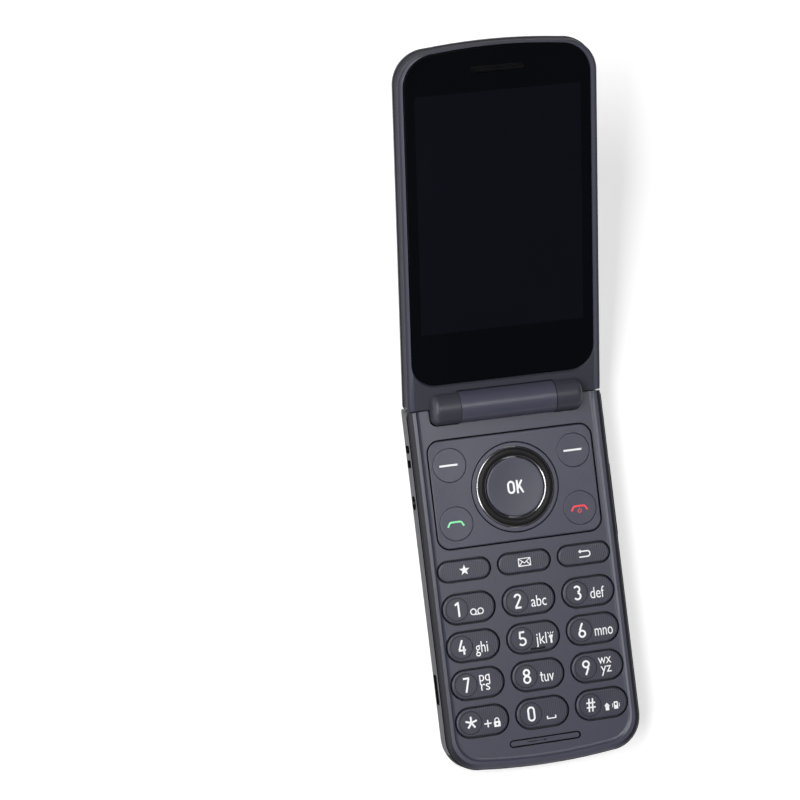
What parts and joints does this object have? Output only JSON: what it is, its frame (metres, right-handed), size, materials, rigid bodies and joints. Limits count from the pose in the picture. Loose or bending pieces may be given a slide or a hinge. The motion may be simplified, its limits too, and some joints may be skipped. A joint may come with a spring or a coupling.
{
  "type": "flip phone",
  "caption": "Open folding mobile phone: keypad base lying on its back, large inner screen in the raised lid, barrel hinge, outer window, rear camera, side sockets.",
  "frame": {"origin": "centre of the base's flat rear face, on the surface that the phone lies on", "axes": "+X to the right of the keypad, +Y along the base towards the hinge, +Z out of the keypad"},
  "size_m": [0.0552, 0.192, 0.0426],
  "materials": {
    "housing": "satin painted moulding",
    "frame": "satin moulded side band",
    "cover": "satin cover with a fine sparkle",
    "key_plastic": "satin caps with printed signs",
    "gloss_black": "polished black",
    "glass_black": "black printed glass",
    "lens": "clear lens",
    "silicone": "dark grey silicone",
    "circuit": "green solder mask",
    "steel": "bright pressed steel",
    "inner_plastic": "black inner mouldings",
    "cell": "wrapped battery can",
    "copper": "copper and gold plating"
  },
  "bodies": {
    "base": {"front_housing": "housing", "mid_frame": "frame", "rear_cover": "cover", "nav_panel": "housing", "keypad_mat": "silicone", "dome_sheet": "steel", "main_board": "circuit", "shield_can": "steel", "battery": "cell", "loudspeaker": "inner_plastic", "camera_module": "inner_plastic", "camera_ring": "frame", "camera_window": "gloss_black", "flash_lens": "lens", "usb_receptacle": "steel", "audio_jack": "inner_plastic", "microphone": "copper", "sim_holder": "steel", "vibration_motor": "steel", "antenna_carrier": "copper", "hinge_cartridge": "steel", "hinge_flex": "copper", "housing_screws": "steel"},
    "lid": {"lid_frame": "housing", "lid_cover": "cover", "display_glass": "glass_black", "display_module": "inner_plastic", "earpiece_grille": "frame", "earpiece_receiver": "inner_plastic", "lid_board": "circuit", "outer_display": "inner_plastic", "outer_window": "glass_black", "lid_magnet": "steel", "lid_screws": "steel", "hinge_shaft": "steel", "hinge_pin": "steel"},
    "outer_key": {"outer_key": "key_plastic"},
    "nav_pad": {"nav_pad": "silicone"},
    "nav_ring": {"nav_ring": "gloss_black"},
    "key_ok": {"key_ok": "key_plastic"},
    "key_soft_left": {"key_soft_left": "key_plastic"},
    "key_soft_right": {"key_soft_right": "key_plastic"},
    "key_call": {"key_call": "key_plastic"},
    "key_end": {"key_end": "key_plastic"},
    "key_favorite": {"key_favorite": "key_plastic"},
    "key_message": {"key_message": "key_plastic"},
    "key_back": {"key_back": "key_plastic"},
    "key_1": {"key_1": "key_plastic"},
    "key_2": {"key_2": "key_plastic"},
    "key_3": {"key_3": "key_plastic"},
    "key_4": {"key_4": "key_plastic"},
    "key_5": {"key_5": "key_plastic"},
    "key_6": {"key_6": "key_plastic"},
    "key_7": {"key_7": "key_plastic"},
    "key_8": {"key_8": "key_plastic"},
    "key_9": {"key_9": "key_plastic"},
    "key_star": {"key_star": "key_plastic"},
    "key_0": {"key_0": "key_plastic"},
    "key_hash": {"key_hash": "key_plastic"},
    "volume_rocker": {"volume_rocker": "frame"}
  },
  "joints": [
    {"name": "clamshell_hinge", "type": "hinge", "parent": "base", "child": "lid", "pos_m": [0, 0.049, 0.0106], "axis": [1, 0, 0], "range_deg": [0, 160.5]},
    {"name": "key_ok_press", "type": "slide", "parent": "base", "child": "key_ok", "axis": [0, 0, -1], "range_m": [0, 0.0003], "stiffness_N_per_m": 6666.7},
    {"name": "key_soft_left_press", "type": "slide", "parent": "base", "child": "key_soft_left", "axis": [0, 0, -1], "range_m": [0, 0.0003], "stiffness_N_per_m": 6666.7},
    {"name": "key_soft_right_press", "type": "slide", "parent": "base", "child": "key_soft_right", "axis": [0, 0, -1], "range_m": [0, 0.0003], "stiffness_N_per_m": 6666.7},
    {"name": "key_call_press", "type": "slide", "parent": "base", "child": "key_call", "axis": [0, 0, -1], "range_m": [0, 0.0003], "stiffness_N_per_m": 6666.7},
    {"name": "key_end_press", "type": "slide", "parent": "base", "child": "key_end", "axis": [0, 0, -1], "range_m": [0, 0.0003], "stiffness_N_per_m": 6666.7},
    {"name": "key_favorite_press", "type": "slide", "parent": "base", "child": "key_favorite", "axis": [0, 0, -1], "range_m": [0, 0.0003], "stiffness_N_per_m": 6666.7},
    {"name": "key_message_press", "type": "slide", "parent": "base", "child": "key_message", "axis": [0, 0, -1], "range_m": [0, 0.0003], "stiffness_N_per_m": 6666.7},
    {"name": "key_back_press", "type": "slide", "parent": "base", "child": "key_back", "axis": [0, 0, -1], "range_m": [0, 0.0003], "stiffness_N_per_m": 6666.7},
    {"name": "key_1_press", "type": "slide", "parent": "base", "child": "key_1", "axis": [0, 0, -1], "range_m": [0, 0.0003], "stiffness_N_per_m": 6666.7},
    {"name": "key_2_press", "type": "slide", "parent": "base", "child": "key_2", "axis": [0, 0, -1], "range_m": [0, 0.0003], "stiffness_N_per_m": 6666.7},
    {"name": "key_3_press", "type": "slide", "parent": "base", "child": "key_3", "axis": [0, 0, -1], "range_m": [0, 0.0003], "stiffness_N_per_m": 6666.7},
    {"name": "key_4_press", "type": "slide", "parent": "base", "child": "key_4", "axis": [0, 0, -1], "range_m": [0, 0.0003], "stiffness_N_per_m": 6666.7},
    {"name": "key_5_press", "type": "slide", "parent": "base", "child": "key_5", "axis": [0, 0, -1], "range_m": [0, 0.0003], "stiffness_N_per_m": 6666.7},
    {"name": "key_6_press", "type": "slide", "parent": "base", "child": "key_6", "axis": [0, 0, -1], "range_m": [0, 0.0003], "stiffness_N_per_m": 6666.7},
    {"name": "key_7_press", "type": "slide", "parent": "base", "child": "key_7", "axis": [0, 0, -1], "range_m": [0, 0.0003], "stiffness_N_per_m": 6666.7},
    {"name": "key_8_press", "type": "slide", "parent": "base", "child": "key_8", "axis": [0, 0, -1], "range_m": [0, 0.0003], "stiffness_N_per_m": 6666.7},
    {"name": "key_9_press", "type": "slide", "parent": "base", "child": "key_9", "axis": [0, 0, -1], "range_m": [0, 0.0003], "stiffness_N_per_m": 6666.7},
    {"name": "key_star_press", "type": "slide", "parent": "base", "child": "key_star", "axis": [0, 0, -1], "range_m": [0, 0.0003], "stiffness_N_per_m": 6666.7},
    {"name": "key_0_press", "type": "slide", "parent": "base", "child": "key_0", "axis": [0, 0, -1], "range_m": [0, 0.0003], "stiffness_N_per_m": 6666.7},
    {"name": "key_hash_press", "type": "slide", "parent": "base", "child": "key_hash", "axis": [0, 0, -1], "range_m": [0, 0.0003], "stiffness_N_per_m": 6666.7},
    {"name": "outer_key_press", "type": "slide", "parent": "lid", "child": "outer_key", "axis": [0, -0.3338, 0.9426], "range_m": [0, 0.0003], "stiffness_N_per_m": 6666.7},
    {"name": "nav_ring_left_right", "type": "hinge", "parent": "base", "child": "nav_pad", "pos_m": [0, 0.0259, 0.0083], "axis": [0, 1, 0], "range_deg": [-1.2, 1.2], "stiffness_Nm_per_rad": 0.6},
    {"name": "nav_ring_up_down", "type": "hinge", "parent": "nav_pad", "child": "nav_ring", "pos_m": [0, 0.0259, 0.0088], "axis": [1, 0, 0], "range_deg": [-1.2, 1.2], "stiffness_Nm_per_rad": 0.6},
    {"name": "volume_rocker_tilt", "type": "hinge", "parent": "base", "child": "volume_rocker", "pos_m": [0.0253, 0.0192, 0.0076], "axis": [0, 0, 1], "range_deg": [-1.2, 1.2], "stiffness_Nm_per_rad": 0.6}
  ]
}
